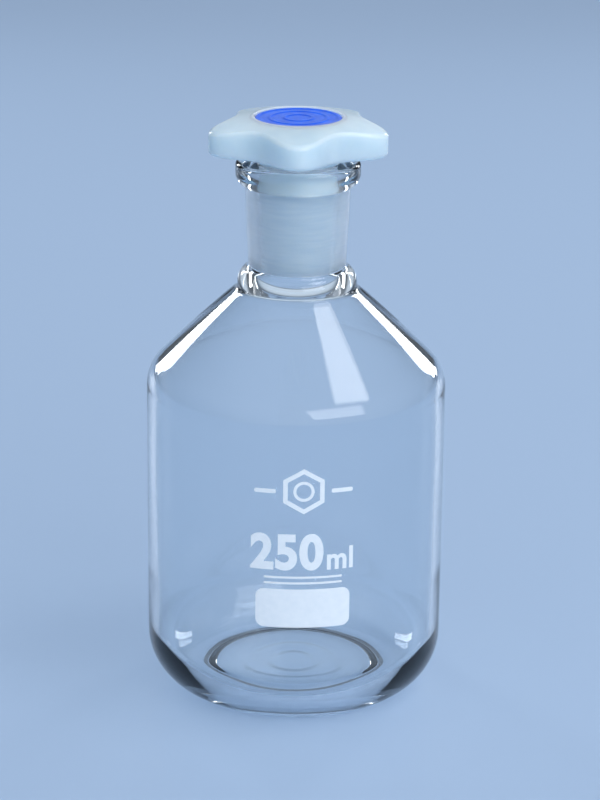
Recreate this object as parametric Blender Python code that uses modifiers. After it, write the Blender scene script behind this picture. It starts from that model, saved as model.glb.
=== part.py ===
"""Narrow-mouth reagent bottle, 250 ml, with a 19/26 ground socket and a hollow plastic stopper.

Frame: metres, +Z up, origin on the bottle's axis in the plane that the foot ring stands on.
The enamel is printed on the -Y side. The stopper lifts and turns about the Z axis.
"""

import math

import bpy

# ---------------------------------------------------------------- driving dimensions
BODY_RADIUS = 0.0350
BODY_WALL = 0.0020
BODY_TOP_Z = 0.0742
SHOULDER_RADIUS = 0.0090
SHOULDER_SLOPE = math.radians(43.8)
RIM_TOP_Z = 0.1281

# Heel: a quarter ellipse outside and a flatter one inside, so the glass is thickest there.
HEEL_OUT_R, HEEL_OUT_Z = 0.0127, 0.0131
HEEL_IN_R, HEEL_IN_Z = 0.0114, 0.0118
HEEL_IN_TOP_RADIUS = 0.0328
HEEL_IN_TOP_Z = 0.0154
STRAIGHT_WALL_Z = 0.0300

# Base: inside the foot ring the underside climbs quickly, then is nearly flat to the axis.
FOOT_RING_INNER = 0.0208
PUSH_UP = 0.0022
PUSH_UP_FLAT_RADIUS = 0.0184
PUSH_UP_FLAT_RISE = 0.0002
FLOOR_CENTRE_Z = 0.0048

# Ground socket 19/26: 18.8 mm across at its mouth, 26 mm long, taper 1 in 10.
JOINT_MOUTH_RADIUS = 0.0094
JOINT_LENGTH = 0.0260
JOINT_TAPER = 1 / 20
MOUTH_ROUND = 0.0008
THROAT_BEND = 0.0026

# Neck, from the rim bead down to the thick collar where the neck meets the shoulder.
RIM_RADIUS = 0.0144
RIM_ROUND = 0.0012
RIM_SIDE_TOP_Z = 0.1269
RIM_SIDE_FOOT_Z = 0.1253
NECK_TOP_RADIUS, NECK_TOP_Z = 0.0122, 0.1225
NECK_MID_RADIUS, NECK_MID_Z = 0.0119, 0.1145
NECK_FOOT_RADIUS, NECK_FOOT_Z = 0.01135, 0.1035
COLLAR_RADIUS = 0.0139
COLLAR_SIDE_Z = 0.0988
COLLAR_TOP_Z = 0.1029
COLLAR_CORE_RADIUS = 0.0114
COLLAR_FOOT_RADIUS = 0.0147

# Stopper: one moulding, a hollow tapered plug under a five-lobed head.
PLUG_CLEARANCE = 0.0003
PLUG_BOTTOM_Z = 0.1023
PLUG_EDGE_ROUND = 0.0008
HOLLOW_RADIUS_TOP = 0.0059
HOLLOW_RADIUS_FOOT = 0.0052
HOLLOW_FLOOR_Z = 0.1047
HEAD_UNDER_Z = 0.1302
HEAD_RING_Z = 0.1383
HEAD_CONE_TOP_Z = 0.1381
HEAD_CONE_SLOPE = 0.213
HEAD_MEAN_RADIUS = 0.01805
HEAD_EDGE_ROUND = 0.0012
LOBES = 5
LOBE_HEIGHT = 0.00285
LOBE_NARROWING = 0.0003
LOBE_ROOT_RADIUS = 0.0110

# Coloured insert: a disc in the head's recess, with a short spigot down the hollow plug.
FIT_GAP = 0.0003
RECESS_RADIUS = 0.0102
RECESS_FLOOR_Z = 0.1362
INSERT_RADIUS = 0.0099
INSERT_TOP_Z = 0.1380
SPIGOT_RADIUS = 0.0054
SPIGOT_WALL = 0.0012
SPIGOT_FOOT_Z = 0.1320

# Enamel writing panel, on the front of the body.
PANEL_CENTRE_ANGLE = math.radians(3.3)
PANEL_WIDTH = 0.0218
PANEL_HEIGHT = 0.0094
PANEL_CENTRE_Z = 0.0318
PANEL_CORNER = 0.0019
PANEL_THICKNESS = 0.00025
PANEL_GAP = 0.00005

BOTTLE_STEPS = 48
STOPPER_STEPS = 60
INSERT_STEPS = 48
WELD = 0.00001


# ---------------------------------------------------------------- outline helpers
def ellipse(centre_r, centre_z, radius_r, radius_z, start_deg, end_deg, steps):
    """Points on an ellipse in the (radius, height) plane, from one angle to another."""
    points = []
    for i in range(steps + 1):
        angle = math.radians(start_deg + (end_deg - start_deg) * i / steps)
        points.append((centre_r + radius_r * math.cos(angle), centre_z + radius_z * math.sin(angle)))
    return points


def bend(start, corner, end, steps):
    """A smooth bend from start to end that is tangent to the lines through corner."""
    points = []
    for i in range(steps + 1):
        t = i / steps
        points.append(
            tuple(
                (1 - t) ** 2 * a + 2 * t * (1 - t) * b + t * t * c
                for a, b, c in zip(start, corner, end)
            )
        )
    return points


def socket_radius(z):
    """Radius of the ground socket at height z."""
    return JOINT_MOUTH_RADIUS - JOINT_TAPER * (RIM_TOP_Z - z)


# ---------------------------------------------------------------- scene helpers
def clear_scene():
    for obj in list(bpy.data.objects):
        bpy.data.objects.remove(obj, do_unlink=True)


def material(name, colour, roughness, alpha=1.0, transmission=0.0):
    mat = bpy.data.materials.new(name)
    mat.use_nodes = True
    shader = mat.node_tree.nodes["Principled BSDF"]
    shader.inputs["Base Color"].default_value = (*colour, 1.0)
    shader.inputs["Roughness"].default_value = roughness
    shader.inputs["Metallic"].default_value = 0.0
    shader.inputs["Alpha"].default_value = alpha
    shader.inputs["Transmission Weight"].default_value = transmission
    return mat


def add_object(name, mesh, collection, mat):
    obj = bpy.data.objects.new(name, mesh)
    obj.data.materials.append(mat)
    collection.objects.link(obj)
    return obj


def turned(name, profile, steps, collection, mat):
    """A body turned about Z from an open outline whose two ends lie on the axis."""
    mesh = bpy.data.meshes.new(name)
    edges = [(i, i + 1) for i in range(len(profile) - 1)]
    mesh.from_pydata([(r, 0.0, z) for r, z in profile], edges, [])
    obj = add_object(name, mesh, collection, mat)
    screw = obj.modifiers.new("Turn", "SCREW")
    screw.axis = "Z"
    screw.steps = steps
    screw.render_steps = steps
    screw.use_merge_vertices = True
    screw.merge_threshold = WELD
    screw.use_smooth_shade = True
    return obj


def applied(obj):
    """Replaces the object's mesh with its evaluated one and removes its modifiers."""
    graph = bpy.context.evaluated_depsgraph_get()
    mesh = bpy.data.meshes.new_from_object(obj.evaluated_get(graph))
    obj.modifiers.clear()
    old = obj.data
    obj.data = mesh
    bpy.data.meshes.remove(old)
    mesh.name = obj.name
    return obj


# ---------------------------------------------------------------- bottle
def bottle_inside():
    """Inner outline, from the middle of the floor up to the socket's mouth."""
    heel_centre_r = HEEL_IN_TOP_RADIUS - HEEL_IN_R
    heel_foot_z = HEEL_IN_TOP_Z - HEEL_IN_Z
    points = [(0.0, FLOOR_CENTRE_Z)]
    points += bend(
        (heel_centre_r * 0.35, FLOOR_CENTRE_Z - 0.0001),
        (heel_centre_r * 0.70, heel_foot_z),
        (heel_centre_r, heel_foot_z),
        3,
    )
    points += ellipse(heel_centre_r, HEEL_IN_TOP_Z, HEEL_IN_R, HEEL_IN_Z, -75, 0, 6)
    inner_radius = BODY_RADIUS - BODY_WALL
    points.append((inner_radius, STRAIGHT_WALL_Z))

    turn = 90 - math.degrees(SHOULDER_SLOPE)
    arc_centre = BODY_RADIUS - SHOULDER_RADIUS
    arc_radius = SHOULDER_RADIUS - BODY_WALL
    shoulder = ellipse(arc_centre, BODY_TOP_Z, arc_radius, arc_radius, 0, turn, 4)
    points += shoulder

    # The cone runs straight up to the throat below the socket.
    arc_r, arc_z = shoulder[-1]
    throat_radius = socket_radius(RIM_TOP_Z - JOINT_LENGTH)
    corner_z = arc_z + (arc_r - throat_radius) * math.tan(SHOULDER_SLOPE)
    cone_end_r = throat_radius + THROAT_BEND
    cone_end_z = arc_z + (arc_r - cone_end_r) * math.tan(SHOULDER_SLOPE)
    points += bend(
        (cone_end_r, cone_end_z),
        (throat_radius, corner_z),
        (throat_radius, RIM_TOP_Z - JOINT_LENGTH),
        3,
    )
    mouth_z = RIM_TOP_Z - MOUTH_ROUND
    points.append((socket_radius(mouth_z), mouth_z))
    return points


def bottle_outside():
    """Outer outline, over the rim and down to the middle of the underside."""
    points = bend(
        (JOINT_MOUTH_RADIUS + 0.0001, RIM_TOP_Z - 0.0003),
        (JOINT_MOUTH_RADIUS + 0.0002, RIM_TOP_Z),
        (JOINT_MOUTH_RADIUS + 0.0009, RIM_TOP_Z),
        2,
    )
    points += ellipse(
        RIM_RADIUS - RIM_ROUND, RIM_SIDE_TOP_Z, RIM_ROUND, RIM_TOP_Z - RIM_SIDE_TOP_Z, 90, 0, 4
    )
    points += ellipse(
        NECK_TOP_RADIUS,
        RIM_SIDE_FOOT_Z,
        RIM_RADIUS - NECK_TOP_RADIUS,
        RIM_SIDE_FOOT_Z - NECK_TOP_Z,
        0,
        -80,
        4,
    )
    points.append((NECK_TOP_RADIUS - 0.0001, NECK_TOP_Z - 0.0004))
    points.append((NECK_MID_RADIUS, NECK_MID_Z))
    points.append((NECK_FOOT_RADIUS, NECK_FOOT_Z))
    points += ellipse(
        COLLAR_CORE_RADIUS,
        COLLAR_SIDE_Z,
        COLLAR_RADIUS - COLLAR_CORE_RADIUS,
        COLLAR_TOP_Z - COLLAR_SIDE_Z,
        72,
        0,
        4,
    )

    turn = 90 - math.degrees(SHOULDER_SLOPE)
    arc_centre = BODY_RADIUS - SHOULDER_RADIUS
    shoulder = ellipse(arc_centre, BODY_TOP_Z, SHOULDER_RADIUS, SHOULDER_RADIUS, turn, 0, 5)
    arc_r, arc_z = shoulder[0]
    cone_top_z = arc_z + (arc_r - COLLAR_FOOT_RADIUS) * math.tan(SHOULDER_SLOPE)
    points.append((COLLAR_FOOT_RADIUS, cone_top_z))
    points += shoulder

    heel_centre_r = BODY_RADIUS - HEEL_OUT_R
    points += ellipse(heel_centre_r, HEEL_OUT_Z, HEEL_OUT_R, HEEL_OUT_Z, 0, -90, 9)

    # Foot ring, then the push-up: half a cosine wave up to the nearly flat middle.
    climb_steps = 4
    for i in range(climb_steps + 1):
        fraction = i / climb_steps
        radius = FOOT_RING_INNER - (FOOT_RING_INNER - PUSH_UP_FLAT_RADIUS) * fraction
        height = (PUSH_UP - PUSH_UP_FLAT_RISE) * 0.5 * (1 - math.cos(math.pi * fraction))
        points.append((radius, height))
    points.append((PUSH_UP_FLAT_RADIUS / 2, PUSH_UP - PUSH_UP_FLAT_RISE / 2))
    points.append((0.0, PUSH_UP))
    return points


def make_bottle(collection):
    mat = material("clear_glass", (0.86, 0.93, 0.95), 0.03, alpha=0.35, transmission=1.0)
    return turned("bottle", bottle_inside() + bottle_outside(), BOTTLE_STEPS, collection, mat)


# ---------------------------------------------------------------- stopper
def plug_radius(z):
    return socket_radius(z) - PLUG_CLEARANCE


def head_cone_z(radius):
    """Height of the head's sloping top at a distance from the axis."""
    return HEAD_CONE_TOP_Z - HEAD_CONE_SLOPE * (radius - LOBE_ROOT_RADIUS)


def stopper_outline():
    """From the floor of the hollow, up and over the head, and down the plug to its end."""
    points = [(0.0, HOLLOW_FLOOR_Z)]
    points += bend(
        (HOLLOW_RADIUS_FOOT - 0.0012, HOLLOW_FLOOR_Z),
        (HOLLOW_RADIUS_FOOT, HOLLOW_FLOOR_Z),
        (HOLLOW_RADIUS_FOOT, HOLLOW_FLOOR_Z + 0.0012),
        2,
    )
    points.append((HOLLOW_RADIUS_TOP, RECESS_FLOOR_Z))
    points.append((RECESS_RADIUS, RECESS_FLOOR_Z))
    points.append((RECESS_RADIUS, HEAD_RING_Z - 0.0001))
    points.append((RECESS_RADIUS + 0.0001, HEAD_RING_Z))
    points.append((LOBE_ROOT_RADIUS - 0.0003, HEAD_RING_Z))

    # Shallow cone, rounded edge, straight side, rounded lower edge and flat underside.
    edge_r = HEAD_MEAN_RADIUS - HEAD_EDGE_ROUND
    edge_z = head_cone_z(edge_r) - HEAD_EDGE_ROUND
    points.append((LOBE_ROOT_RADIUS, head_cone_z(LOBE_ROOT_RADIUS)))
    points += ellipse(edge_r, edge_z, HEAD_EDGE_ROUND, HEAD_EDGE_ROUND, 78, 0, 3)
    points += ellipse(
        edge_r, HEAD_UNDER_Z + HEAD_EDGE_ROUND, HEAD_EDGE_ROUND, HEAD_EDGE_ROUND, 0, -90, 3
    )
    neck_r = plug_radius(HEAD_UNDER_Z)
    points.append((neck_r + 0.0006, HEAD_UNDER_Z))
    points.append((neck_r, HEAD_UNDER_Z - 0.0006))

    lower_z = PLUG_BOTTOM_Z + PLUG_EDGE_ROUND
    lower_r = plug_radius(lower_z)
    points += bend(
        (lower_r, lower_z), (lower_r, PLUG_BOTTOM_Z), (lower_r - PLUG_EDGE_ROUND, PLUG_BOTTOM_Z), 2
    )
    points.append((0.0, PLUG_BOTTOM_Z))
    return points


def make_lobes(obj):
    """Moves the head's points in or out by a five-lobed wave that dies away at its middle.

    The top keeps to its cone, so the head's edge is lowest at the tips of the lobes.
    """
    side_z = 0.5 * (HEAD_UNDER_Z + HEAD_CONE_TOP_Z)
    for vertex in obj.data.vertices:
        x, y, z = vertex.co
        radius = math.hypot(x, y)
        if z < HEAD_UNDER_Z - WELD or radius <= LOBE_ROOT_RADIUS + WELD:
            continue
        reach = (radius - LOBE_ROOT_RADIUS) / (HEAD_MEAN_RADIUS - LOBE_ROOT_RADIUS)
        angle = LOBES * math.atan2(x, -y)
        wave = LOBE_HEIGHT * math.cos(angle) + LOBE_NARROWING * math.cos(2 * angle)
        lobed = radius + reach * wave
        vertex.co.x = x * lobed / radius
        vertex.co.y = y * lobed / radius
        if z > side_z:
            vertex.co.z -= HEAD_CONE_SLOPE * (lobed - radius)


def make_stopper(collection):
    mat = material("natural_polyethylene", (0.82, 0.87, 0.90), 0.35)
    obj = applied(turned("stopper", stopper_outline(), STOPPER_STEPS, collection, mat))
    make_lobes(obj)
    return obj


# ---------------------------------------------------------------- coloured insert
def make_insert(collection):
    mat = material("blue_plastic", (0.03, 0.11, 0.72), 0.35)
    spigot_inner = SPIGOT_RADIUS - SPIGOT_WALL
    disc_under_z = RECESS_FLOOR_Z + FIT_GAP
    edge = 0.0002
    outline = [
        (0.0, INSERT_TOP_Z),
        (INSERT_RADIUS - edge, INSERT_TOP_Z),
        (INSERT_RADIUS, INSERT_TOP_Z - edge),
        (INSERT_RADIUS, disc_under_z),
        (SPIGOT_RADIUS, disc_under_z),
        (SPIGOT_RADIUS - edge, SPIGOT_FOOT_Z),
        (spigot_inner, SPIGOT_FOOT_Z),
        (spigot_inner, disc_under_z),
        (0.0, disc_under_z),
    ]
    return turned("colour_insert", outline, INSERT_STEPS, collection, mat)


# ---------------------------------------------------------------- writing panel
def make_writing_panel(collection):
    """A rounded rectangle, thickened and wrapped round the body."""
    columns, rows = 16, 6
    bpy.ops.mesh.primitive_grid_add(x_subdivisions=columns, y_subdivisions=rows, size=1)
    obj = bpy.context.object
    obj.name = "writing_panel"
    obj.data.name = "writing_panel"
    for other in list(obj.users_collection):
        other.objects.unlink(obj)
    collection.objects.link(obj)
    obj.data.materials.append(material("white_enamel", (0.80, 0.86, 0.90), 0.6))

    half_width, half_height = PANEL_WIDTH / 2, PANEL_HEIGHT / 2
    for vertex in obj.data.vertices:
        across = vertex.co.x * PANEL_WIDTH
        # Near its two ends the panel gets shorter, which rounds its corners.
        past = max(0.0, abs(across) - (half_width - PANEL_CORNER))
        drop = PANEL_CORNER - math.sqrt(max(0.0, PANEL_CORNER**2 - past**2))
        up = vertex.co.y * 2 * (half_height - drop)
        angle = PANEL_CENTRE_ANGLE + across / BODY_RADIUS
        radius = BODY_RADIUS + PANEL_GAP
        vertex.co = (radius * math.sin(angle), -radius * math.cos(angle), PANEL_CENTRE_Z + up)
    solid = obj.modifiers.new("Thickness", "SOLIDIFY")
    solid.thickness = PANEL_THICKNESS
    solid.offset = 1.0
    solid.use_even_offset = True
    return obj


def main():
    clear_scene()
    collection = bpy.data.collections.new("reagent_bottle")
    bpy.context.scene.collection.children.link(collection)
    make_bottle(collection)
    make_stopper(collection)
    make_insert(collection)
    make_writing_panel(collection)


main()
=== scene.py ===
"""Looks of the reagent bottle: fine glass, moulded stopper, blue insert and enamel print, built round
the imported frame. Metres, +Z up, the print faces -Y, and the bottle's axis is the Z axis."""

import math

import bmesh
import bpy
from mathutils import Matrix, Quaternion, Vector, noise


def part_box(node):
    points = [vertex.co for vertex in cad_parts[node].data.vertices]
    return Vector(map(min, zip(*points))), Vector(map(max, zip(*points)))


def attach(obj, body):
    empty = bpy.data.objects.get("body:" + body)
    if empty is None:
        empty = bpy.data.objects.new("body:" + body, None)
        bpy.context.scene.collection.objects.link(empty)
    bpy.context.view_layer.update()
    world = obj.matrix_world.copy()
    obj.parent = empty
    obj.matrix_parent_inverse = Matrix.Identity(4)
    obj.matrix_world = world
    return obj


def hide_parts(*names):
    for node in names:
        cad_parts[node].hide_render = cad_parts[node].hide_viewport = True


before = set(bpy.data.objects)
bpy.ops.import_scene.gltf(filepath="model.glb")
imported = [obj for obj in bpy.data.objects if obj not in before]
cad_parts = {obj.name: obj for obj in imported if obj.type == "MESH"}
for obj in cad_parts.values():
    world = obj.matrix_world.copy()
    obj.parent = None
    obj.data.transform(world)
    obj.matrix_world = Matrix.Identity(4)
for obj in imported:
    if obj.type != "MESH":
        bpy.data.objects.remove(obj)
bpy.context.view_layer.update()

MM = 0.001

# ---------------------------------------------------------------- sizes taken from the frame
BOTTLE_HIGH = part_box("bottle")[1]
STOPPER_LOW, STOPPER_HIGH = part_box("stopper")
INSERT_LOW, INSERT_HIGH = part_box("colour_insert")
PANEL_LOW, PANEL_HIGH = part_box("writing_panel")
BODY_RADIUS = BOTTLE_HIGH.x
RIM_TOP_Z = BOTTLE_HIGH.z

# ---------------------------------------------------------------- glass, to the CAD's outline
BODY_WALL = 2.0 * MM
BODY_TOP_Z = 74.2 * MM
SHOULDER_RADIUS = 9.0 * MM
SHOULDER_SLOPE = math.radians(43.8)
HEEL_OUT_R, HEEL_OUT_Z = 12.7 * MM, 13.1 * MM
HEEL_IN_R, HEEL_IN_Z = 11.4 * MM, 11.8 * MM
HEEL_IN_TOP_RADIUS = BODY_RADIUS - 2.2 * MM
HEEL_IN_TOP_Z = 15.4 * MM
STRAIGHT_WALL_Z = 30.0 * MM
FOOT_RING_INNER = 20.8 * MM
PUSH_UP = 2.2 * MM
PUSH_UP_FLAT_RADIUS = 18.4 * MM
PUSH_UP_FLAT_RISE = 0.2 * MM
FLOOR_CENTRE_Z = 4.8 * MM
MOULD_RING_RADII = (5.3 * MM, 10.8 * MM)
MOULD_RING_WIDTH = 1.5 * MM
MOULD_RING_DEPTH = 0.09 * MM
THROAT_BEND = 2.6 * MM
MOUTH_ROUND = 0.8 * MM
JOINT_MOUTH_RADIUS = 9.4 * MM
JOINT_LENGTH = 26.0 * MM
JOINT_TAPER = 1 / 20
GROUND_TOP_Z = RIM_TOP_Z - 4.6 * MM
RIM_RADIUS = 14.4 * MM
RIM_ROUND = 1.2 * MM
RIM_SIDE_FOOT_Z = RIM_TOP_Z - 2.8 * MM
NECK_TOP_RADIUS, NECK_TOP_Z = 12.2 * MM, 122.5 * MM
NECK_MID_RADIUS, NECK_MID_Z = 11.9 * MM, 114.5 * MM
NECK_FOOT_RADIUS, NECK_FOOT_Z = 11.35 * MM, 103.5 * MM
RIM_FILLET_Z = 121.2 * MM
COLLAR_FILLET_Z = 103.0 * MM
COLLAR_RADIUS = 13.9 * MM
COLLAR_SIDE_Z = 98.8 * MM
COLLAR_TOP_Z = 102.9 * MM
COLLAR_CORE_RADIUS = 11.4 * MM
COLLAR_FOOT_RADIUS = 14.7 * MM
# How high the swells may be, and how many noise cells there are in a metre, across and up.
WALL_WAVE, WALL_WAVES_ACROSS, WALL_WAVES_UP = 0.05 * MM, 70, 45
SHOULDER_WAVE, SHOULDER_WAVES_ACROSS, SHOULDER_WAVES_UP = 0.06 * MM, 80, 60
SHOULDER_NOISE_SHIFT = 9
WAVE_FADE = 12 * MM
SHOULDER_BULGE = 0.2 * MM

# ---------------------------------------------------------------- stopper, to the CAD's outline
PLUG_CLEARANCE = 0.06 * MM
PLUG_BOTTOM_Z = STOPPER_LOW.z
PLUG_EDGE_ROUND = 0.8 * MM
PLUG_RINGS_Z = (109.4 * MM, 111.6 * MM, 116.8 * MM)
PLUG_RING_DEPTH = 0.10 * MM
PLUG_RING_WIDTH = 0.16 * MM
PLUG_TOP_FILLET = 0.8 * MM
HOLLOW_RADIUS_TOP = 5.9 * MM
HOLLOW_RADIUS_FOOT = 5.2 * MM
HOLLOW_FLOOR_Z = 104.7 * MM
HOLLOW_FLOOR_ROUND = 1.4 * MM
HOLLOW_MOUTH_ROUND = 0.3 * MM
HEAD_UNDER_Z = 130.2 * MM
HEAD_RING_Z = STOPPER_HIGH.z
HEAD_CONE_TOP_Z = HEAD_RING_Z - 0.2 * MM
HEAD_CONE_SLOPE = 0.213
HEAD_MEAN_RADIUS = 18.05 * MM
HEAD_EDGE_ROUND = 1.2 * MM
LOBES = 5
LOBE_HEIGHT = 2.85 * MM
LOBE_NARROWING = 0.3 * MM
LOBE_ROOT_RADIUS = 11.0 * MM
RECESS_RADIUS = 10.05 * MM
RECESS_FLOOR_Z = 136.2 * MM
RING_ROUND = 0.22 * MM
RING_FLAT_TO, RING_SLOPE_FROM = 0.45 * MM, 0.65 * MM

# ---------------------------------------------------------------- insert
INSERT_RADIUS = INSERT_HIGH.x
INSERT_TOP_Z = INSERT_HIGH.z
SPIGOT_RADIUS = 5.4 * MM
SPIGOT_WALL = 1.2 * MM
INSERT_EDGE = 0.25 * MM
INSERT_FACE_DEPTH = 0.15 * MM
INSERT_FIT_GAP = 0.1 * MM
INSERT_RING_RADII = (3.2 * MM, 6.6 * MM)
INSERT_RING_TOP_DIP = 0.02 * MM

# ---------------------------------------------------------------- enamel print
PRINT_ANGLE = math.radians(3.3)
PANEL_WIDTH = 21.8 * MM
PANEL_HEIGHT = PANEL_HIGH.z - PANEL_LOW.z
PANEL_CENTRE_Z = (PANEL_LOW.z + PANEL_HIGH.z) / 2
PANEL_CORNER = 1.9 * MM
ENAMEL_GAP = 0.01 * MM
ENAMEL_THICKNESS = 0.035 * MM
ENAMEL_STRIP = 0.6 * MM
FIGURES_FOOT_Z = 41.1 * MM
FIGURES_LEFT, FIGURES_RIGHT, FIGURES_TOP_Z = -12.2 * MM, 4.6 * MM, 50.0 * MM
UNIT_LEFT, UNIT_RIGHT, UNIT_TOP_Z = 5.4 * MM, 11.6 * MM, 46.5 * MM
EMBLEM_Z = 60.2 * MM
EMBLEM_HEXAGON_RADII = (5.4 * MM, 4.2 * MM)
EMBLEM_CIRCLE_RADII = (2.4 * MM, 1.7 * MM)
EMBLEM_BAR_LENGTH, EMBLEM_BAR_HEIGHT, EMBLEM_BAR_CORNER = 5.0 * MM, 1.0 * MM, 0.4 * MM
EMBLEM_BAR_OFFSET = 8.8 * MM
RULE_LENGTH, RULE_HEIGHT, RULE_CORNER = 18.0 * MM, 0.5 * MM, 0.2 * MM
RULE_HEIGHTS_Z = (39.4 * MM, 38.0 * MM)

GLASS_STEPS = 240
STOPPER_STEPS = 240
INSERT_STEPS = 192
WELD = 0.001 * MM

# ---------------------------------------------------------------- materials
GLASS_IOR = 1.473
PLASTIC_IOR = 1.51
NOISE_LOW, NOISE_HIGH = 0.1, 0.9
RAMP_LOW, RAMP_HIGH = 0.3, 0.7

# ---------------------------------------------------------------- studio, in metres
FLOOR_RADIUS = 6.0
BOTTLE_MIDDLE = (0.0, 0.0, 0.07)
WARM_WHITE = (1.0, 0.99, 0.97)
SOFT_WHITE = (1.0, 0.99, 0.98)
COOL_WHITE = (0.94, 0.97, 1.0)
SKY_COLOUR = (0.76, 0.87, 1.0, 1.0)
SKY_EVERYWHERE = 0.12
CAMERA_PLACE = (0.0, -0.620, 0.2802)
CAMERA_DOWN_DEG = 18.721
CAMERA_ROLL_DEG = 0.556
CAMERA_LENS = 125.27
CAMERA_SENSOR = 36.0
CAMERA_SHIFT = 0.0051
BOUNCES = 24
DIFFUSE_BOUNCES = 10


# ================================================================ outline helpers
def ellipse(centre_r, centre_z, radius_r, radius_z, start_deg, end_deg, steps):
    """Points on an ellipse in the (radius, height) plane, from one angle to another."""
    points = []
    for i in range(steps + 1):
        angle = math.radians(start_deg + (end_deg - start_deg) * i / steps)
        points.append((centre_r + radius_r * math.cos(angle), centre_z + radius_z * math.sin(angle)))
    return points


def bend(start, corner, end, steps):
    """A smooth bend from start to end that is tangent to the lines through corner."""
    points = []
    for i in range(steps + 1):
        t = i / steps
        points.append(
            tuple(
                (1 - t) ** 2 * a + 2 * t * (1 - t) * b + t * t * c
                for a, b, c in zip(start, corner, end)
            )
        )
    return points


def line(start, end, steps):
    """Evenly spaced points from just after start up to end."""
    return [
        tuple(a + (b - a) * i / steps for a, b in zip(start, end)) for i in range(1, steps + 1)
    ]


def socket_radius(z):
    """Radius of the ground socket at height z."""
    return JOINT_MOUTH_RADIUS - JOINT_TAPER * (RIM_TOP_Z - z)


# ================================================================ mesh helpers
def turned(name, outline, steps):
    """A closed body turned about Z from an outline whose two ends lie on the axis."""
    mesh = bpy.data.meshes.new(name)
    edges = [(i, i + 1) for i in range(len(outline) - 1)]
    mesh.from_pydata([(r, 0.0, z) for r, z in outline], edges, [])
    obj = bpy.data.objects.new(name, mesh)
    bpy.context.scene.collection.objects.link(obj)
    screw = obj.modifiers.new("Turn", "SCREW")
    screw.axis = "Z"
    screw.steps = steps
    screw.render_steps = steps
    screw.use_merge_vertices = True
    screw.merge_threshold = WELD
    screw.use_smooth_shade = True
    return applied(obj)


def applied(obj):
    """Replaces the object's mesh with its evaluated one and removes its modifiers."""
    bpy.context.view_layer.update()
    graph = bpy.context.evaluated_depsgraph_get()
    mesh = bpy.data.meshes.new_from_object(obj.evaluated_get(graph))
    obj.modifiers.clear()
    old = obj.data
    obj.data = mesh
    bpy.data.meshes.remove(old)
    mesh.name = obj.name
    return obj


# ================================================================ materials
def new_material(name):
    """A material with its Principled shader, its tree and its object coordinates."""
    mat = bpy.data.materials.new(name)
    mat.use_nodes = True
    tree = mat.node_tree
    shader = tree.nodes["Principled BSDF"]
    place = tree.nodes.new("ShaderNodeTexCoord").outputs["Object"]
    return mat, tree, shader, place


def noise_value(tree, place, scale, detail=3.0, stretch=None):
    """A noise pattern of so many waves a metre, stretched along the axes if asked."""
    if stretch is not None:
        mapping = tree.nodes.new("ShaderNodeMapping")
        mapping.inputs["Scale"].default_value = stretch
        tree.links.new(place, mapping.inputs["Vector"])
        place = mapping.outputs["Vector"]
    node = tree.nodes.new("ShaderNodeTexNoise")
    node.inputs["Scale"].default_value = scale
    node.inputs["Detail"].default_value = detail
    tree.links.new(place, node.inputs["Vector"])
    return node.outputs["Fac"]


def remap(tree, value, low, high):
    """The noise value, spread from low to high over the range that it mostly keeps to."""
    node = tree.nodes.new("ShaderNodeMapRange")
    node.inputs["From Min"].default_value = NOISE_LOW
    node.inputs["From Max"].default_value = NOISE_HIGH
    node.inputs["To Min"].default_value = low
    node.inputs["To Max"].default_value = high
    tree.links.new(value, node.inputs["Value"])
    return node.outputs["Result"]


def two_colours(tree, value, dark, light):
    """A colour between two, by the value."""
    ramp = tree.nodes.new("ShaderNodeValToRGB")
    ramp.color_ramp.elements[0].position = RAMP_LOW
    ramp.color_ramp.elements[0].color = (*dark, 1.0)
    ramp.color_ramp.elements[1].position = RAMP_HIGH
    ramp.color_ramp.elements[1].color = (*light, 1.0)
    tree.links.new(value, ramp.inputs["Fac"])
    return ramp.outputs["Color"]


def bump(tree, shader, value, height, before=None):
    """Adds relief of that height in metres, on top of an earlier bump's normal."""
    node = tree.nodes.new("ShaderNodeBump")
    node.inputs["Strength"].default_value = 1.0
    node.inputs["Distance"].default_value = height
    tree.links.new(value, node.inputs["Height"])
    if before is not None:
        tree.links.new(before, node.inputs["Normal"])
    tree.links.new(node.outputs["Normal"], shader.inputs["Normal"])
    return node.outputs["Normal"]


def clear_glass():
    """Borosilicate glass: nearly colourless, with the faint long ripples of drawn glass."""
    mat, tree, shader, place = new_material("clear_glass")
    shader.inputs["Base Color"].default_value = (0.915, 0.945, 0.965, 1.0)
    shader.inputs["Roughness"].default_value = 0.0
    shader.inputs["IOR"].default_value = GLASS_IOR
    shader.inputs["Transmission Weight"].default_value = 1.0
    ripples = noise_value(tree, place, 60.0, 2.0, (1.0, 1.0, 0.35))
    bump(tree, shader, ripples, 0.02 * MM)
    return mat


def ground_glass():
    """The lapped inside of the socket: white, fine-grained, with faint marks round it."""
    mat, tree, shader, place = new_material("ground_glass")
    lapping = noise_value(tree, place, 300.0, 3.0, (0.5, 0.5, 5.0))
    colour = two_colours(tree, lapping, (0.84, 0.90, 0.95), (0.95, 0.98, 1.0))
    tree.links.new(colour, shader.inputs["Base Color"])
    shader.inputs["Roughness"].default_value = 0.45
    shader.inputs["IOR"].default_value = GLASS_IOR
    shader.inputs["Transmission Weight"].default_value = 0.55
    grain = bump(tree, shader, noise_value(tree, place, 6000.0, 2.0), 0.02 * MM)
    bump(tree, shader, lapping, 0.05 * MM, grain)
    return mat


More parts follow.
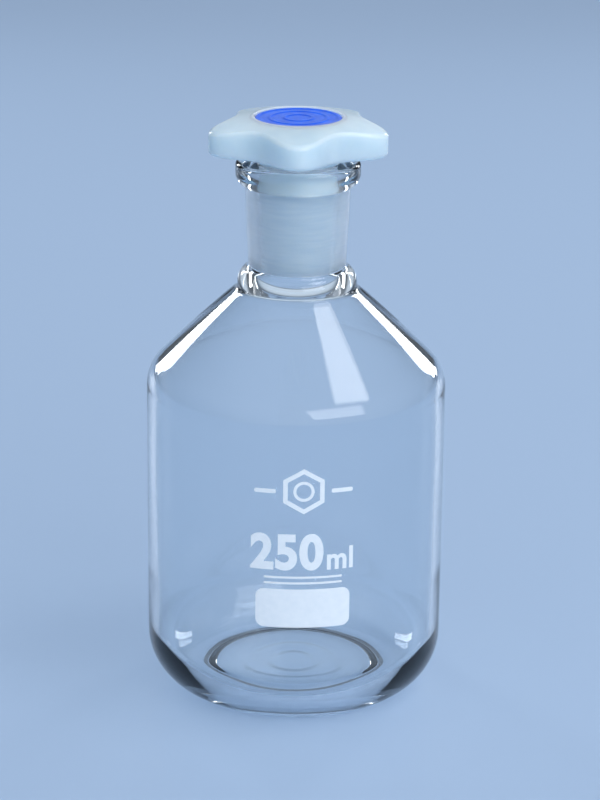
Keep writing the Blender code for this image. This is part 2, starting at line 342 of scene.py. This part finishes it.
def polyethylene():
    """Natural polyethylene: milky, light passes into it, with a soft moulded sheen."""
    mat, tree, shader, place = new_material("natural_polyethylene")
    cloud = noise_value(tree, place, 120.0, 3.0)
    colour = two_colours(tree, cloud, (0.59, 0.71, 0.77), (0.67, 0.78, 0.83))
    tree.links.new(colour, shader.inputs["Base Color"])
    scuffs = noise_value(tree, place, 70.0, 1.0)
    tree.links.new(remap(tree, scuffs, 0.20, 0.27), shader.inputs["Roughness"])
    shader.inputs["IOR"].default_value = PLASTIC_IOR
    shader.inputs["Subsurface Weight"].default_value = 1.0
    shader.inputs["Subsurface Radius"].default_value = (1.0, 1.15, 1.3)
    shader.inputs["Subsurface Scale"].default_value = 6.0 * MM
    bump(tree, shader, noise_value(tree, place, 220.0, 2.0), 0.03 * MM)
    return mat


def blue_plastic():
    """The insert: strong blue, a little light going into it, with a fine satin grain."""
    mat, tree, shader, place = new_material("blue_plastic")
    cloud = noise_value(tree, place, 350.0, 3.0)
    colour = two_colours(tree, cloud, (0.006, 0.10, 0.74), (0.012, 0.15, 0.93))
    tree.links.new(colour, shader.inputs["Base Color"])
    grain = noise_value(tree, place, 2500.0, 3.0)
    tree.links.new(remap(tree, grain, 0.22, 0.46), shader.inputs["Roughness"])
    shader.inputs["IOR"].default_value = PLASTIC_IOR
    shader.inputs["Specular IOR Level"].default_value = 0.25
    shader.inputs["Subsurface Weight"].default_value = 0.3
    shader.inputs["Subsurface Radius"].default_value = (0.3, 0.5, 1.0)
    shader.inputs["Subsurface Scale"].default_value = 1.0 * MM
    bump(tree, shader, grain, 0.01 * MM)
    return mat


def white_enamel():
    """Fired enamel: white, slightly uneven where the screen laid it down, dull where written on."""
    mat, tree, shader, place = new_material("white_enamel")
    cloud = noise_value(tree, place, 700.0, 4.0)
    colour = two_colours(tree, cloud, (0.87, 0.905, 0.93), (0.92, 0.945, 0.96))
    tree.links.new(colour, shader.inputs["Base Color"])
    grain = noise_value(tree, place, 5000.0, 3.0)
    tree.links.new(remap(tree, grain, 0.45, 0.65), shader.inputs["Roughness"])
    bump(tree, shader, grain, 0.008 * MM)
    return mat


# ================================================================ bottle
def glass_inside():
    """Inner outline, from the middle of the floor up to the socket's mouth."""
    heel_centre_r = HEEL_IN_TOP_RADIUS - HEEL_IN_R
    heel_foot_z = HEEL_IN_TOP_Z - HEEL_IN_Z
    points = bend(
        (0.0, FLOOR_CENTRE_Z), (heel_centre_r * 0.55, FLOOR_CENTRE_Z), (heel_centre_r, heel_foot_z), 40
    )
    points += ellipse(heel_centre_r, HEEL_IN_TOP_Z, HEEL_IN_R, HEEL_IN_Z, -86, 0, 28)
    inner_radius = BODY_RADIUS - BODY_WALL
    points += line(points[-1], (inner_radius, STRAIGHT_WALL_Z), 10)
    points += line(points[-1], (inner_radius, BODY_TOP_Z - 0.5 * MM), 24)

    turn = 90 - math.degrees(SHOULDER_SLOPE)
    arc_centre = BODY_RADIUS - SHOULDER_RADIUS
    arc_radius = SHOULDER_RADIUS - BODY_WALL
    points += ellipse(arc_centre, BODY_TOP_Z, arc_radius, arc_radius, 0, turn, 14)

    arc_r, arc_z = points[-1]
    throat_radius = socket_radius(RIM_TOP_Z - JOINT_LENGTH)
    corner_z = arc_z + (arc_r - throat_radius) * math.tan(SHOULDER_SLOPE)
    cone_end_r = throat_radius + THROAT_BEND
    cone_end_z = arc_z + (arc_r - cone_end_r) * math.tan(SHOULDER_SLOPE)
    points += line(points[-1], (cone_end_r, cone_end_z), 18)[:-1]
    points += bend(
        (cone_end_r, cone_end_z),
        (throat_radius, corner_z),
        (throat_radius, RIM_TOP_Z - JOINT_LENGTH),
        12,
    )
    mouth_z = RIM_TOP_Z - MOUTH_ROUND
    points += line(points[-1], (socket_radius(GROUND_TOP_Z), GROUND_TOP_Z), 14)
    points += line(points[-1], (socket_radius(mouth_z), mouth_z), 4)
    return points


def underside_z(radius):
    """Height of the underside: up quickly inside the foot ring, then nearly flat to the middle."""
    across_ring = (FOOT_RING_INNER - radius) / (FOOT_RING_INNER - PUSH_UP_FLAT_RADIUS)
    climb = 0.5 * (1 - math.cos(math.pi * min(1.0, across_ring)))
    height = (PUSH_UP - PUSH_UP_FLAT_RISE) * climb
    inward = max(0.0, 1 - radius / PUSH_UP_FLAT_RADIUS)
    height += PUSH_UP_FLAT_RISE * 0.5 * (1 - math.cos(math.pi * inward))
    # The mould leaves shallow rings round the middle of the base.
    for ring_radius in MOULD_RING_RADII:
        height -= MOULD_RING_DEPTH * math.exp(-(((radius - ring_radius) / MOULD_RING_WIDTH) ** 2))
    return height


def glass_outside():
    """Outer outline, over the rim and down to the middle of the underside."""
    points = bend(
        (JOINT_MOUTH_RADIUS, RIM_TOP_Z - 0.6 * MM),
        (JOINT_MOUTH_RADIUS + 0.1 * MM, RIM_TOP_Z),
        (JOINT_MOUTH_RADIUS + 1.0 * MM, RIM_TOP_Z),
        8,
    )
    points += line(points[-1], (RIM_RADIUS - RIM_ROUND, RIM_TOP_Z), 3)[:-1]
    points += ellipse(RIM_RADIUS - RIM_ROUND, RIM_TOP_Z - RIM_ROUND, RIM_ROUND, RIM_ROUND, 90, 0, 10)
    points += ellipse(
        NECK_TOP_RADIUS,
        RIM_SIDE_FOOT_Z,
        RIM_RADIUS - NECK_TOP_RADIUS,
        RIM_SIDE_FOOT_Z - NECK_TOP_Z,
        0,
        -76,
        12,
    )
    # A small fillet under the rim, then the neck, which narrows a little on its way down.
    points += bend(
        points[-1],
        (NECK_TOP_RADIUS, NECK_TOP_Z),
        (NECK_TOP_RADIUS - 0.05 * MM, RIM_FILLET_Z),
        5,
    )[1:]
    points += line(points[-1], (NECK_MID_RADIUS, NECK_MID_Z), 5)
    points += line(points[-1], (NECK_FOOT_RADIUS, NECK_FOOT_Z + 0.6 * MM), 8)
    collar = ellipse(
        COLLAR_CORE_RADIUS,
        COLLAR_SIDE_Z,
        COLLAR_RADIUS - COLLAR_CORE_RADIUS,
        COLLAR_TOP_Z - COLLAR_SIDE_Z,
        66,
        0,
        14,
    )
    points += bend(points[-1], (NECK_FOOT_RADIUS + 0.1 * MM, COLLAR_FILLET_Z), collar[0], 6)[1:-1]
    points += collar

    turn = 90 - math.degrees(SHOULDER_SLOPE)
    arc_centre = BODY_RADIUS - SHOULDER_RADIUS
    shoulder = ellipse(arc_centre, BODY_TOP_Z, SHOULDER_RADIUS, SHOULDER_RADIUS, turn, 0, 18)
    arc_r, arc_z = shoulder[0]
    foot_z = arc_z + (arc_r - COLLAR_FOOT_RADIUS) * math.tan(SHOULDER_SLOPE)
    corner_z = arc_z + (arc_r - COLLAR_RADIUS) * math.tan(SHOULDER_SLOPE)
    points += bend(collar[-1], (COLLAR_RADIUS, corner_z), (COLLAR_FOOT_RADIUS, foot_z), 6)[1:]
    # The cone is a little full, as blown glass is.
    middle_r = (COLLAR_FOOT_RADIUS + arc_r) / 2 + 2 * SHOULDER_BULGE * math.sin(SHOULDER_SLOPE)
    middle_z = (foot_z + arc_z) / 2 + 2 * SHOULDER_BULGE * math.cos(SHOULDER_SLOPE)
    points += bend(points[-1], (middle_r, middle_z), shoulder[0], 24)[1:-1]
    points += shoulder

    heel = ellipse(BODY_RADIUS - HEEL_OUT_R, HEEL_OUT_Z, HEEL_OUT_R, HEEL_OUT_Z, 0, -90, 32)
    points += line(points[-1], heel[0], 36)[:-1]
    points += heel
    push_up_steps = 96
    for i in range(push_up_steps + 1):
        radius = FOOT_RING_INNER * (1 - i / push_up_steps)
        points.append((radius, underside_z(radius)))
    return points


def on_outer_face(radius, z):
    """Whether a point of the body or shoulder is nearer to the outer face than to the inner one."""
    turn = math.radians(90) - SHOULDER_SLOPE
    arc_z = BODY_TOP_Z + SHOULDER_RADIUS * math.sin(turn)
    arc_r = BODY_RADIUS - SHOULDER_RADIUS * (1 - math.cos(turn))
    if z < BODY_TOP_Z:
        depth = BODY_RADIUS - radius
    elif z < arc_z:
        centre_r = BODY_RADIUS - SHOULDER_RADIUS
        depth = SHOULDER_RADIUS - math.hypot(radius - centre_r, z - BODY_TOP_Z)
    else:
        cone_z = arc_z + (arc_r - radius) * math.tan(SHOULDER_SLOPE)
        depth = (cone_z - z) * math.cos(SHOULDER_SLOPE)
    return depth < 0.5 * BODY_WALL


def make_waves(obj):
    """Uneven wall thickness: slow swells of the inner face, and of the shoulder's outer face."""
    foot_z, top_z = STRAIGHT_WALL_Z * 0.5, COLLAR_SIDE_Z - 3 * MM
    for vertex in obj.data.vertices:
        x, y, z = vertex.co
        radius = math.hypot(x, y)
        if radius < COLLAR_FOOT_RADIUS or not foot_z < z < top_z:
            continue
        if on_outer_face(radius, z):
            share = min(1.0, max(0.0, z - BODY_TOP_Z) / WAVE_FADE, (top_z - z) / WAVE_FADE)
            height, per_metre, up = SHOULDER_WAVE, SHOULDER_WAVES_ACROSS, SHOULDER_WAVES_UP
            place = Vector((x * per_metre, y * per_metre, z * up + SHOULDER_NOISE_SHIFT))
        else:
            share = min(1.0, (z - foot_z) / WAVE_FADE, (top_z - z) / WAVE_FADE)
            height, per_metre, up = WALL_WAVE, WALL_WAVES_ACROSS, WALL_WAVES_UP
            place = Vector((x * per_metre, y * per_metre, z * up))
        wave = height * share * noise.noise(place)
        vertex.co.x += x / radius * wave
        vertex.co.y += y / radius * wave


def make_bottle():
    """The glass body, with its lapped socket as a second material on the same mesh."""
    obj = turned("glass_body", glass_inside() + glass_outside(), GLASS_STEPS)
    make_waves(obj)
    obj.data.materials.append(clear_glass())
    obj.data.materials.append(ground_glass())
    ground_low_z = RIM_TOP_Z - JOINT_LENGTH
    for face in obj.data.polygons:
        centre = face.center
        on_socket = math.hypot(centre.x, centre.y) < JOINT_MOUTH_RADIUS
        if on_socket and ground_low_z < centre.z < GROUND_TOP_Z:
            face.material_index = 1
    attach(obj, "bottle")
    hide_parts("bottle")


# ================================================================ stopper
def plug_radius(z):
    """Radius of the plug at height z, with three faint rings turned into it."""
    radius = socket_radius(z) - PLUG_CLEARANCE
    for ring_z in PLUG_RINGS_Z:
        radius -= PLUG_RING_DEPTH * math.exp(-(((z - ring_z) / PLUG_RING_WIDTH) ** 2))
    return radius


def head_cone_z(radius):
    """Height of the head's sloping top at a distance from the axis."""
    return HEAD_CONE_TOP_Z - HEAD_CONE_SLOPE * (radius - LOBE_ROOT_RADIUS)


def stopper_outline():
    """From the floor of the hollow, up and over the head, and down the plug to its end."""
    points = [(0.0, HOLLOW_FLOOR_Z)]
    points += line(points[-1], (HOLLOW_RADIUS_FOOT - HOLLOW_FLOOR_ROUND, HOLLOW_FLOOR_Z), 4)[:-1]
    points += bend(
        (HOLLOW_RADIUS_FOOT - HOLLOW_FLOOR_ROUND, HOLLOW_FLOOR_Z),
        (HOLLOW_RADIUS_FOOT, HOLLOW_FLOOR_Z),
        (HOLLOW_RADIUS_FOOT, HOLLOW_FLOOR_Z + HOLLOW_FLOOR_ROUND),
        8,
    )
    points += line(points[-1], (HOLLOW_RADIUS_TOP, RECESS_FLOOR_Z - HOLLOW_MOUTH_ROUND), 12)
    points += bend(
        points[-1],
        (HOLLOW_RADIUS_TOP, RECESS_FLOOR_Z),
        (HOLLOW_RADIUS_TOP + HOLLOW_MOUTH_ROUND, RECESS_FLOOR_Z),
        3,
    )[1:]
    points += line(points[-1], (RECESS_RADIUS, RECESS_FLOOR_Z), 4)
    points += line(points[-1], (RECESS_RADIUS, HEAD_RING_Z - RING_ROUND), 3)
    points += ellipse(
        RECESS_RADIUS + RING_ROUND, HEAD_RING_Z - RING_ROUND, RING_ROUND, RING_ROUND, 180, 90, 5
    )[1:]
    points += bend(
        (RECESS_RADIUS + RING_FLAT_TO, HEAD_RING_Z),
        (RECESS_RADIUS + RING_SLOPE_FROM, HEAD_RING_Z),
        (LOBE_ROOT_RADIUS, head_cone_z(LOBE_ROOT_RADIUS)),
        5,
    )

    edge_r = HEAD_MEAN_RADIUS - HEAD_EDGE_ROUND
    edge_z = head_cone_z(edge_r) - HEAD_EDGE_ROUND
    points += line(points[-1], (edge_r, head_cone_z(edge_r)), 12)[:-1]
    points += ellipse(edge_r, edge_z, HEAD_EDGE_ROUND, HEAD_EDGE_ROUND, 78, 0, 10)
    under_z = HEAD_UNDER_Z + HEAD_EDGE_ROUND
    points += line(points[-1], (HEAD_MEAN_RADIUS, under_z), 4)[:-1]
    points += ellipse(edge_r, under_z, HEAD_EDGE_ROUND, HEAD_EDGE_ROUND, 0, -90, 10)
    neck_r = plug_radius(HEAD_UNDER_Z)
    points += line(points[-1], (neck_r + PLUG_TOP_FILLET, HEAD_UNDER_Z), 6)[:-1]
    points += bend(
        (neck_r + PLUG_TOP_FILLET, HEAD_UNDER_Z),
        (neck_r, HEAD_UNDER_Z),
        (neck_r, HEAD_UNDER_Z - PLUG_TOP_FILLET),
        6,
    )
    lower_z = PLUG_BOTTOM_Z + PLUG_EDGE_ROUND
    plug_steps = 160
    plug_top_z = HEAD_UNDER_Z - PLUG_TOP_FILLET
    for i in range(1, plug_steps + 1):
        z = plug_top_z + (lower_z - plug_top_z) * i / plug_steps
        points.append((plug_radius(z), z))
    lower_r = points[-1][0]
    points += bend(
        (lower_r, lower_z), (lower_r, PLUG_BOTTOM_Z), (lower_r - PLUG_EDGE_ROUND, PLUG_BOTTOM_Z), 8
    )[1:]
    points += line(points[-1], (0.0, PLUG_BOTTOM_Z), 6)
    return points


def make_lobes(obj):
    """Moves the head's points in or out by a five-lobed wave that dies away at its middle."""
    side_z = 0.5 * (HEAD_UNDER_Z + HEAD_CONE_TOP_Z)
    for vertex in obj.data.vertices:
        x, y, z = vertex.co
        radius = math.hypot(x, y)
        if z < HEAD_UNDER_Z - WELD or radius <= LOBE_ROOT_RADIUS + WELD:
            continue
        reach = (radius - LOBE_ROOT_RADIUS) / (HEAD_MEAN_RADIUS - LOBE_ROOT_RADIUS)
        angle = LOBES * math.atan2(x, -y)
        wave = LOBE_HEIGHT * math.cos(angle) + LOBE_NARROWING * math.cos(2 * angle)
        lobed = radius + reach * wave
        vertex.co.x = x * lobed / radius
        vertex.co.y = y * lobed / radius
        if z > side_z:
            vertex.co.z -= HEAD_CONE_SLOPE * (lobed - radius)


def make_stopper():
    """The one-piece moulding: tapered hollow plug and five-lobed head."""
    obj = turned("stopper_moulding", stopper_outline(), STOPPER_STEPS)
    make_lobes(obj)
    obj.data.materials.append(polyethylene())
    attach(obj, "stopper")
    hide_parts("stopper")


# ================================================================ insert
def insert_outline():
    """From the middle of the face, over its raised edge, to the spigot and back to the axis."""
    face_z = INSERT_TOP_Z - INSERT_FACE_DEPTH
    ring_top = INSERT_TOP_Z
    ring_middle = ring_top - INSERT_RING_TOP_DIP
    edge = INSERT_EDGE
    disc_under_z = RECESS_FLOOR_Z + INSERT_FIT_GAP
    spigot_inner = SPIGOT_RADIUS - SPIGOT_WALL
    points = [(0.0, face_z)]
    ring_half, ring_shoulder = 0.4 * MM, 0.25 * MM
    for radius in INSERT_RING_RADII:
        points += line(points[-1], (radius - ring_half, face_z), 4)
        points += bend(points[-1], (radius - ring_shoulder, ring_top), (radius, ring_middle), 4)[1:]
        points += bend(points[-1], (radius + ring_shoulder, ring_top), (radius + ring_half, face_z), 4)[1:]
    points += line(points[-1], (INSERT_RADIUS - 1.1 * MM, face_z), 4)
    points += bend(
        points[-1],
        (INSERT_RADIUS - 0.9 * MM, ring_top),
        (INSERT_RADIUS - 0.7 * MM, ring_top),
        4,
    )[1:]
    points += line(points[-1], (INSERT_RADIUS - edge, ring_top), 2)[:-1]
    points += ellipse(INSERT_RADIUS - edge, ring_top - edge, edge, edge, 90, 0, 5)
    points += line(points[-1], (INSERT_RADIUS, disc_under_z), 3)
    points += line(points[-1], (SPIGOT_RADIUS, disc_under_z), 3)
    points += line(points[-1], (SPIGOT_RADIUS, INSERT_LOW.z + edge), 3)
    points += line(points[-1], (SPIGOT_RADIUS - edge, INSERT_LOW.z), 2)
    points += line(points[-1], (spigot_inner, INSERT_LOW.z), 2)
    points += line(points[-1], (spigot_inner, disc_under_z), 3)
    points += line(points[-1], (0.0, disc_under_z), 3)
    return points


def make_insert():
    """The blue disc pressed into the head, plain but for its raised rings."""
    obj = turned("blue_insert", insert_outline(), INSERT_STEPS)
    obj.data.set_sharp_from_angle(angle=math.radians(50))
    obj.data.materials.append(blue_plastic())
    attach(obj, "insert")
    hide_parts("colour_insert")


# ================================================================ enamel print
def flat_curve(name, outlines):
    """A filled flat shape in the XY plane from closed outlines; an inner outline is a hole."""
    curve = bpy.data.curves.new(name, "CURVE")
    curve.dimensions = "2D"
    curve.fill_mode = "BOTH"
    for outline in outlines:
        spline = curve.splines.new("POLY")
        spline.points.add(len(outline) - 1)
        spline.use_cyclic_u = True
        for point, (x, y) in zip(spline.points, outline):
            point.co = (x, y, 0.0, 1.0)
    return curve


def text_curve(name, body, height, spacing, weight):
    """Plain figures in Blender's own font: their height, letter spacing and extra boldness."""
    curve = bpy.data.curves.new(name, "FONT")
    curve.body = body
    curve.size = height
    curve.offset = weight
    curve.align_x = "LEFT"
    curve.space_character = spacing
    return curve


def flat_mesh(name, curve):
    """The curve's filled face as a mesh."""
    obj = bpy.data.objects.new(name, curve)
    bpy.context.scene.collection.objects.link(obj)
    bpy.context.view_layer.update()
    graph = bpy.context.evaluated_depsgraph_get()
    mesh = bpy.data.meshes.new_from_object(obj.evaluated_get(graph))
    bpy.data.objects.remove(obj)
    mesh.name = name
    return mesh


def fit_flat(mesh, low_x, high_x, low_y, high_y):
    """Scales and moves a flat mesh into a rectangle."""
    xs = [v.co.x for v in mesh.vertices]
    ys = [v.co.y for v in mesh.vertices]
    for vertex in mesh.vertices:
        across = (vertex.co.x - min(xs)) / (max(xs) - min(xs))
        up = (vertex.co.y - min(ys)) / (max(ys) - min(ys))
        vertex.co = (low_x + across * (high_x - low_x), low_y + up * (high_y - low_y), 0.0)


def enamel(name, mesh, mat):
    """Cuts a flat mesh into narrow strips, wraps it round the body and gives it its thickness."""
    work = bmesh.new()
    work.from_mesh(mesh)
    bpy.data.meshes.remove(mesh)
    bmesh.ops.remove_doubles(work, verts=work.verts, dist=WELD)
    xs = [v.co.x for v in work.verts]
    cuts = int((max(xs) - min(xs)) / ENAMEL_STRIP)
    for i in range(1, cuts + 1):
        x = min(xs) + (max(xs) - min(xs)) * i / (cuts + 1)
        geometry = work.verts[:] + work.edges[:] + work.faces[:]
        bmesh.ops.bisect_plane(
            work, geom=geometry, plane_co=(x, 0, 0), plane_no=(1, 0, 0), dist=WELD
        )
    bmesh.ops.triangulate(work, faces=work.faces[:])
    for face in work.faces:
        face.smooth = False
        if face.normal.z < 0:
            face.normal_flip()
    radius = BODY_RADIUS + ENAMEL_GAP
    for vertex in work.verts:
        across, up = vertex.co.x, vertex.co.y
        angle = PRINT_ANGLE + across / BODY_RADIUS
        vertex.co = (radius * math.sin(angle), -radius * math.cos(angle), up)
    wrapped = bpy.data.meshes.new(name)
    work.to_mesh(wrapped)
    work.free()
    obj = bpy.data.objects.new(name, wrapped)
    bpy.context.scene.collection.objects.link(obj)
    solid = obj.modifiers.new("Thickness", "SOLIDIFY")
    solid.thickness = ENAMEL_THICKNESS
    solid.offset = 1.0
    applied(obj)
    obj.data.materials.append(mat)
    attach(obj, "bottle")
    return obj


def rounded_rectangle(width, height, corner, steps=8):
    """A closed outline round the origin, with quarter circles at its corners."""
    points = []
    for quarter, (sx, sy) in enumerate(((1, 1), (-1, 1), (-1, -1), (1, -1))):
        centre = (sx * (width / 2 - corner), sy * (height / 2 - corner))
        for i in range(steps + 1):
            angle = math.radians(90 * quarter + 90 * i / steps)
            points.append((centre[0] + corner * math.cos(angle), centre[1] + corner * math.sin(angle)))
    return points


def shifted(points, across, up):
    """The outline moved across and up the print."""
    return [(x + across, y + up) for x, y in points]


def polygon(radius, sides, turn_deg):
    """A regular outline round the origin; many sides make a circle."""
    angles = [math.radians(turn_deg + 360 * i / sides) for i in range(sides)]
    return [(radius * math.cos(a), radius * math.sin(a)) for a in angles]


def make_print():
    """The panel, the capacity, and plain marks where the object carries a name and words."""
    mat = white_enamel()

    panel_outline = rounded_rectangle(PANEL_WIDTH, PANEL_HEIGHT, PANEL_CORNER)
    panel = flat_mesh("panel", flat_curve("panel", [shifted(panel_outline, 0, PANEL_CENTRE_Z)]))
    panel = enamel("enamel_panel", panel, mat)
    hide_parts("writing_panel")

    figures = flat_mesh("figures", text_curve("figures", "250", 10 * MM, 1.06, 0.38 * MM))
    fit_flat(figures, FIGURES_LEFT, FIGURES_RIGHT, FIGURES_FOOT_Z, FIGURES_TOP_Z)
    enamel("enamel_capacity", figures, mat)
    unit = flat_mesh("unit", text_curve("unit", "ml", 6 * MM, 1.05, 0.16 * MM))
    fit_flat(unit, UNIT_LEFT, UNIT_RIGHT, FIGURES_FOOT_Z, UNIT_TOP_Z)
    enamel("enamel_unit", unit, mat)

    # A plain hexagon ring round a circle, between two bars.
    bar = rounded_rectangle(EMBLEM_BAR_LENGTH, EMBLEM_BAR_HEIGHT, EMBLEM_BAR_CORNER)
    outlines = [shifted(polygon(radius, 6, 30), 0, EMBLEM_Z) for radius in EMBLEM_HEXAGON_RADII]
    outlines += [shifted(polygon(radius, 48, 0), 0, EMBLEM_Z) for radius in EMBLEM_CIRCLE_RADII]
    outlines += [shifted(bar, side * EMBLEM_BAR_OFFSET, EMBLEM_Z) for side in (-1, 1)]
    enamel("enamel_emblem", flat_mesh("emblem", flat_curve("emblem", outlines)), mat)

    # Two plain rules above the panel.
    rule = rounded_rectangle(RULE_LENGTH, RULE_HEIGHT, RULE_CORNER)
    outlines = [shifted(rule, 0, z) for z in RULE_HEIGHTS_Z]
    enamel("enamel_rules", flat_mesh("rules", flat_curve("rules", outlines)), mat)


# ================================================================ studio
def make_floor():
    """A plain pale floor with a satin polish: rough enough that no light is mirrored in it."""
    bpy.ops.mesh.primitive_circle_add(vertices=96, radius=FLOOR_RADIUS, fill_type="NGON")
    floor = bpy.context.object
    floor.name = "studio_floor"
    mat, _, shader, _ = new_material("studio_floor")
    shader.inputs["Base Color"].default_value = (0.40, 0.52, 0.70, 1.0)
    shader.inputs["Roughness"].default_value = 0.48
    shader.inputs["IOR"].default_value = 1.5
    floor.data.materials.append(mat)


def area_light(name, place, target, size, radiance, colour, spread_deg=180, roll_deg=0):
    """A softbox at a place, facing a target. Its brightness is in watts for each square metre."""
    width, height = size
    light = bpy.data.lights.new(name, "AREA")
    light.shape = "RECTANGLE"
    light.size = width
    light.size_y = height
    light.energy = radiance * width * height
    light.color = colour
    light.spread = math.radians(spread_deg)
    obj = bpy.data.objects.new(name, light)
    obj.location = place
    obj.rotation_mode = "QUATERNION"
    aim = (Vector(target) - Vector(place)).to_track_quat("-Z", "Y")
    obj.rotation_quaternion = aim @ Quaternion((0.0, 0.0, 1.0), math.radians(roll_deg))
    obj.visible_camera = False
    bpy.context.scene.collection.objects.link(obj)


def glow(tree, place, towards, starts_at, brightness):
    """A soft round patch of light in the sky around one direction, fading out from it.

    It starts where the cosine of the angle from that direction is starts_at.
    """
    dot = tree.nodes.new("ShaderNodeVectorMath")
    dot.operation = "DOT_PRODUCT"
    dot.inputs[1].default_value = Vector(towards).normalized()
    tree.links.new(place, dot.inputs[0])
    fade = tree.nodes.new("ShaderNodeMapRange")
    fade.interpolation_type = "SMOOTHSTEP"
    fade.inputs["From Min"].default_value = starts_at
    fade.inputs["From Max"].default_value = 1.0
    fade.inputs["To Min"].default_value = 0.0
    fade.inputs["To Max"].default_value = brightness
    tree.links.new(dot.outputs["Value"], fade.inputs["Value"])
    return fade.outputs["Result"]


def make_world():
    """Soft light from all round: most of it from the front and above, and a glow behind the bottle."""
    world = bpy.data.worlds.new("studio")
    world.use_nodes = True
    tree = world.node_tree
    place = tree.nodes.new("ShaderNodeTexCoord").outputs["Generated"]
    front = glow(tree, place, (0.27, -0.66, 0.70), -0.35, 0.92)
    behind = glow(tree, place, (0.0, 0.94, 0.34), 0.93, 0.75)
    total = tree.nodes.new("ShaderNodeMath")
    total.operation = "ADD"
    tree.links.new(front, total.inputs[0])
    tree.links.new(behind, total.inputs[1])
    brightness = tree.nodes.new("ShaderNodeMath")
    brightness.operation = "ADD"
    brightness.inputs[1].default_value = SKY_EVERYWHERE
    tree.links.new(total.outputs["Value"], brightness.inputs[0])
    background = tree.nodes["Background"]
    background.inputs["Color"].default_value = SKY_COLOUR
    tree.links.new(brightness.outputs["Value"], background.inputs["Strength"])
    bpy.context.scene.world = world


def make_lights():
    """A softbox overhead, a larger one in front, and a strip behind the bottle on each side."""
    # Turned on its corner, it shows on the shoulder as a streak that widens downwards.
    area_light(
        "overhead_right", (0.41, -0.11, 0.84), (0, 0, 0.09), (0.31, 0.31), 11.5, WARM_WHITE, roll_deg=45
    )
    area_light("front_right", (0.60, -0.88, 0.74), BOTTLE_MIDDLE, (0.90, 0.62), 7.5, SOFT_WHITE)
    for side, name in ((-1, "strip_left"), (1, "strip_right")):
        place = (side * 0.56, 0.86, 0.36)
        area_light(name, place, (0, 0, 0.10), (0.15, 0.50), 8.5, COOL_WHITE, spread_deg=110)


def let_light_through():
    """Enough bounces to pass in and out of thick glass, no glossy filter and a plain view transform."""
    scene = bpy.context.scene
    scene.cycles.max_bounces = BOUNCES
    scene.cycles.transmission_bounces = BOUNCES
    scene.cycles.diffuse_bounces = DIFFUSE_BOUNCES
    scene.cycles.blur_glossy = 0.0
    scene.view_settings.view_transform = "Standard"


def make_camera():
    """Looks 18.7 degrees down at the bottle from the front, rolled by half a degree."""
    camera = bpy.data.cameras.new("camera")
    camera.sensor_width = CAMERA_SENSOR
    camera.lens = CAMERA_LENS
    camera.shift_x = CAMERA_SHIFT
    camera.clip_start = 0.05
    camera.clip_end = 20.0
    obj = bpy.data.objects.new("camera", camera)
    bpy.context.scene.collection.objects.link(obj)
    obj.matrix_world = (
        Matrix.Translation(CAMERA_PLACE)
        @ Matrix.Rotation(math.radians(90 - CAMERA_DOWN_DEG), 4, "X")
        @ Matrix.Rotation(math.radians(CAMERA_ROLL_DEG), 4, "Z")
    )
    bpy.context.scene.camera = obj


make_camera()
make_world()
make_lights()
let_light_through()
make_floor()
make_bottle()
make_stopper()
make_insert()
make_print()
